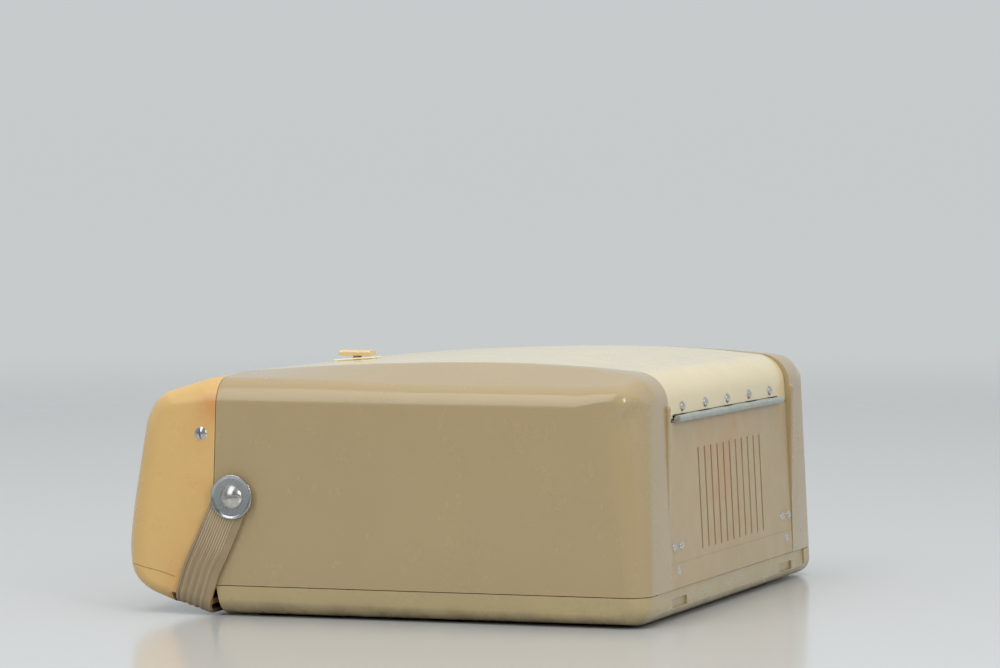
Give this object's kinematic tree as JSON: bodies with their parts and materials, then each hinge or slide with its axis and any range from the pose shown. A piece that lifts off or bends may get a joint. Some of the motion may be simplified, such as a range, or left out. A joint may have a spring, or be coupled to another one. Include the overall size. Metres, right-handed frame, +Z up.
{
  "type": "portable radio with record deck",
  "caption": "Low wedge-shaped portable radio in a two-tone moulded case with a strap handle and a rear-hinged lid over a record deck.",
  "frame": {"origin": "under the middle of the case, on the surface that the feet stand on", "axes": "+Z up, the front bezel faces -Y, +X to the right seen from the front"},
  "size_m": [0.362, 0.3061, 0.1406],
  "materials": {
    "bezel": "moulded gloss, yellowed",
    "shell": "moulded gloss",
    "tray": "moulded gloss",
    "panel": "moulded satin",
    "rivets": "nickel plated, domed",
    "feet": "matt",
    "screws": "nickel plated",
    "lid": "moulded gloss",
    "hinge": "dull plated",
    "lid_trim": "moulded gloss",
    "latch": "moulded gloss",
    "washers": "nickel plated",
    "strap": "ribbed vinyl",
    "board": "pressed fibre board",
    "dark_steel": "dull",
    "cone": "matt",
    "cloth": "woven",
    "window": "clear",
    "dial": "printed, ticks only",
    "pointer": "gloss",
    "knob": "moulded gloss",
    "brass": "turned",
    "bare_metal": "bare",
    "key": "moulded gloss",
    "deck": "hammer finish",
    "platter": "satin",
    "mat": "ribbed",
    "battery": "wrapped"
  },
  "bodies": {
    "cabinet": {"front_bezel": "bezel", "side_shell_left": "shell", "side_shell_right": "shell", "bottom_tray": "tray", "back_panel": "panel", "back_rivets": "rivets", "rubber_feet": "feet", "bezel_screws": "screws", "hinge_leaf_fixed": "hinge", "hinge_pin": "hinge", "pivot_studs": "screws", "pivot_washers": "washers", "pivot_screws": "screws", "speaker_baffle": "board", "speaker_basket": "dark_steel", "speaker_magnet": "dark_steel", "grille_cloth": "cloth", "dial_window": "window", "dial_plate": "dial", "dial_rail": "screws", "capacitor_frame": "bare_metal", "volume_control": "dark_steel", "key_bank": "board", "deck_plate": "deck", "deck_screws": "screws", "spindle_bearing": "brass", "motor": "dark_steel", "arm_rest": "cone", "chassis_plate": "bare_metal", "chassis_parts": "bare_metal", "batteries": "battery"},
    "lid": {"lid": "lid", "lid_rivets": "rivets", "lid_buffers": "feet", "hinge_leaf_moving": "hinge", "latch_base": "lid_trim"},
    "latch": {"latch_slider": "latch"},
    "handle_arms": {"handle_arm_left": "strap", "handle_arm_right": "strap"},
    "handle_grip": {"handle_grip": "strap"},
    "cone": {"speaker_cone": "cone"},
    "pointer": {"dial_pointer": "pointer"},
    "tuning": {"tuning_knob": "knob", "tuning_shaft": "brass"},
    "rotor": {"capacitor_rotor": "bare_metal"},
    "volume": {"volume_knob": "knob", "volume_shaft": "brass"},
    "key_1": {"band_key_1": "key"},
    "key_2": {"band_key_2": "key"},
    "key_3": {"band_key_3": "key"},
    "key_4": {"band_key_4": "key"},
    "platter": {"platter": "platter", "platter_mat": "mat", "spindle": "bare_metal"},
    "idler": {"idler_wheel": "mat"},
    "pulley": {"motor_pulley": "brass"},
    "arm_base": {"arm_swivel": "platter"},
    "arm": {"tonearm": "key", "cartridge": "cone"},
    "lever": {"speed_lever": "key"}
  },
  "joints": [
    {"name": "lid_hinge", "type": "hinge", "parent": "cabinet", "child": "lid", "pos_m": [0, 0.1504, 0.1095], "axis": [-1, 0, 0], "range_deg": [0, 95]},
    {"name": "latch_slide", "type": "slide", "parent": "lid", "child": "latch", "axis": [0, 1, 0], "range_m": [0, 0.004], "stiffness_N_per_m": 300},
    {"name": "handle_swing", "type": "hinge", "parent": "cabinet", "child": "handle_arms", "pos_m": [0, -0.085, 0.0663], "axis": [-1, 0, 0], "range_deg": [0, 68]},
    {"name": "handle_draw", "type": "slide", "parent": "handle_arms", "child": "handle_grip", "axis": [0, -0.4067, -0.9135], "range_m": [0, 0.024], "deforming": ["handle_grip"]},
    {"name": "cone_travel", "type": "slide", "parent": "cabinet", "child": "cone", "axis": [0, -0.9859, 0.1676], "range_m": [-0.001, 0.001], "stiffness_N_per_m": 2000},
    {"name": "tuning_turn", "type": "hinge", "parent": "cabinet", "child": "tuning", "pos_m": [0.112, -0.14455, 0.09536], "axis": [0, -0.9859, 0.1676], "range_deg": [-540, 540]},
    {"name": "pointer_travel", "type": "slide", "parent": "cabinet", "child": "pointer", "axis": [1, 0, 0], "range_m": [-0.068, 0.068]},
    {"name": "rotor_turn", "type": "hinge", "parent": "cabinet", "child": "rotor", "pos_m": [0.112, -0.09723, 0.08732], "axis": [0, -0.9859, 0.1676], "range_deg": [-90, 90]},
    {"name": "volume_turn", "type": "hinge", "parent": "cabinet", "child": "volume", "pos_m": [-0.112, -0.14455, 0.09536], "axis": [0, -0.9859, 0.1676], "range_deg": [-140, 140]},
    {"name": "key_1_press", "type": "slide", "parent": "cabinet", "child": "key_1", "axis": [0, 0.9859, -0.1676], "range_m": [0, 0.003], "stiffness_N_per_m": 300},
    {"name": "key_2_press", "type": "slide", "parent": "cabinet", "child": "key_2", "axis": [0, 0.9859, -0.1676], "range_m": [0, 0.003], "stiffness_N_per_m": 300},
    {"name": "key_3_press", "type": "slide", "parent": "cabinet", "child": "key_3", "axis": [0, 0.9859, -0.1676], "range_m": [0, 0.003], "stiffness_N_per_m": 300},
    {"name": "key_4_press", "type": "slide", "parent": "cabinet", "child": "key_4", "axis": [0, 0.9859, -0.1676], "range_m": [0, 0.003], "stiffness_N_per_m": 300},
    {"name": "platter_spin", "type": "hinge", "parent": "cabinet", "child": "platter", "pos_m": [0, 0.025, 0.11], "axis": [0, 0, -1], "continuous": true},
    {"name": "idler_spin", "type": "hinge", "parent": "cabinet", "child": "idler", "pos_m": [-0.0589, 0.0036, 0.11], "axis": [0, 0, -1], "continuous": true},
    {"name": "pulley_spin", "type": "hinge", "parent": "cabinet", "child": "pulley", "pos_m": [-0.06905, 0.0212, 0.11], "axis": [0, 0, -1], "continuous": true},
    {"name": "arm_swing", "type": "hinge", "parent": "cabinet", "child": "arm_base", "pos_m": [0.1, 0.1, 0.11], "axis": [0, 0, -1], "range_deg": [0, 32]},
    {"name": "arm_lift", "type": "hinge", "parent": "arm_base", "child": "arm", "pos_m": [0.1, 0.1, 0.1175], "axis": [-1, 0, 0], "range_deg": [0, 2.5]},
    {"name": "lever_turn", "type": "hinge", "parent": "cabinet", "child": "lever", "pos_m": [-0.108, -0.07, 0.108], "axis": [0, 0, -1], "range_deg": [0, 30]}
  ],
  "couplings": [
    {"joint": "handle_draw", "follows": "handle_swing", "m_per_rad": 0.02},
    {"joint": "pointer_travel", "follows": "tuning_turn", "m_per_rad": 0.0072},
    {"joint": "rotor_turn", "follows": "tuning_turn", "ratio": 0.16667},
    {"joint": "idler_spin", "follows": "platter_spin", "ratio": 4.7059},
    {"joint": "pulley_spin", "follows": "platter_spin", "ratio": -26.667}
  ]
}
